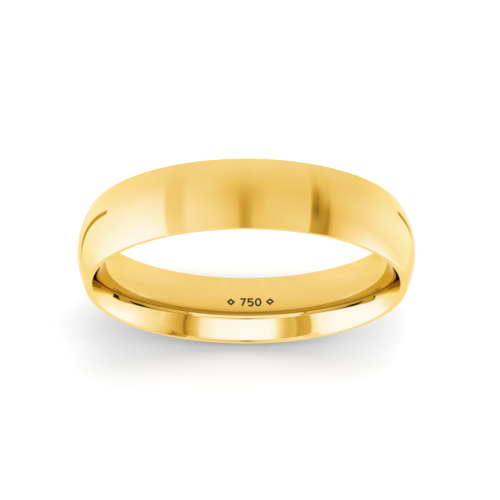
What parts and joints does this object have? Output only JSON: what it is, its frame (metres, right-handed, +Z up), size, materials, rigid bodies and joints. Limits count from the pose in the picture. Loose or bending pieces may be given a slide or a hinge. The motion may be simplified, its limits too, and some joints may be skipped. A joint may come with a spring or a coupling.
{
  "type": "wedding band",
  "caption": "Plain polished gold wedding band, domed outside and comfort-domed inside, with a small black-inlaid fineness mark in the bore.",
  "frame": {"origin": "centre of the finger hole, on the finger axis and half way across the width", "axes": "+Y along the finger axis, +Z up with the band standing on its crown, +X to the right of somebody reading the mark"},
  "size_m": [0.0236, 0.005, 0.0236],
  "materials": {
    "polished_gold": "18 carat yellow gold, mirror polished, fine handling marks, faint turning lines in the bore",
    "black_enamel": "black enamel, semi-gloss, slightly sunk below the metal"
  },
  "bodies": {
    "root": {"band": "polished_gold", "mark_infill_left_lozenge": "black_enamel", "mark_infill_seven": "black_enamel", "mark_infill_five": "black_enamel", "mark_infill_zero": "black_enamel", "mark_infill_right_lozenge": "black_enamel"}
  },
  "joints": []
}
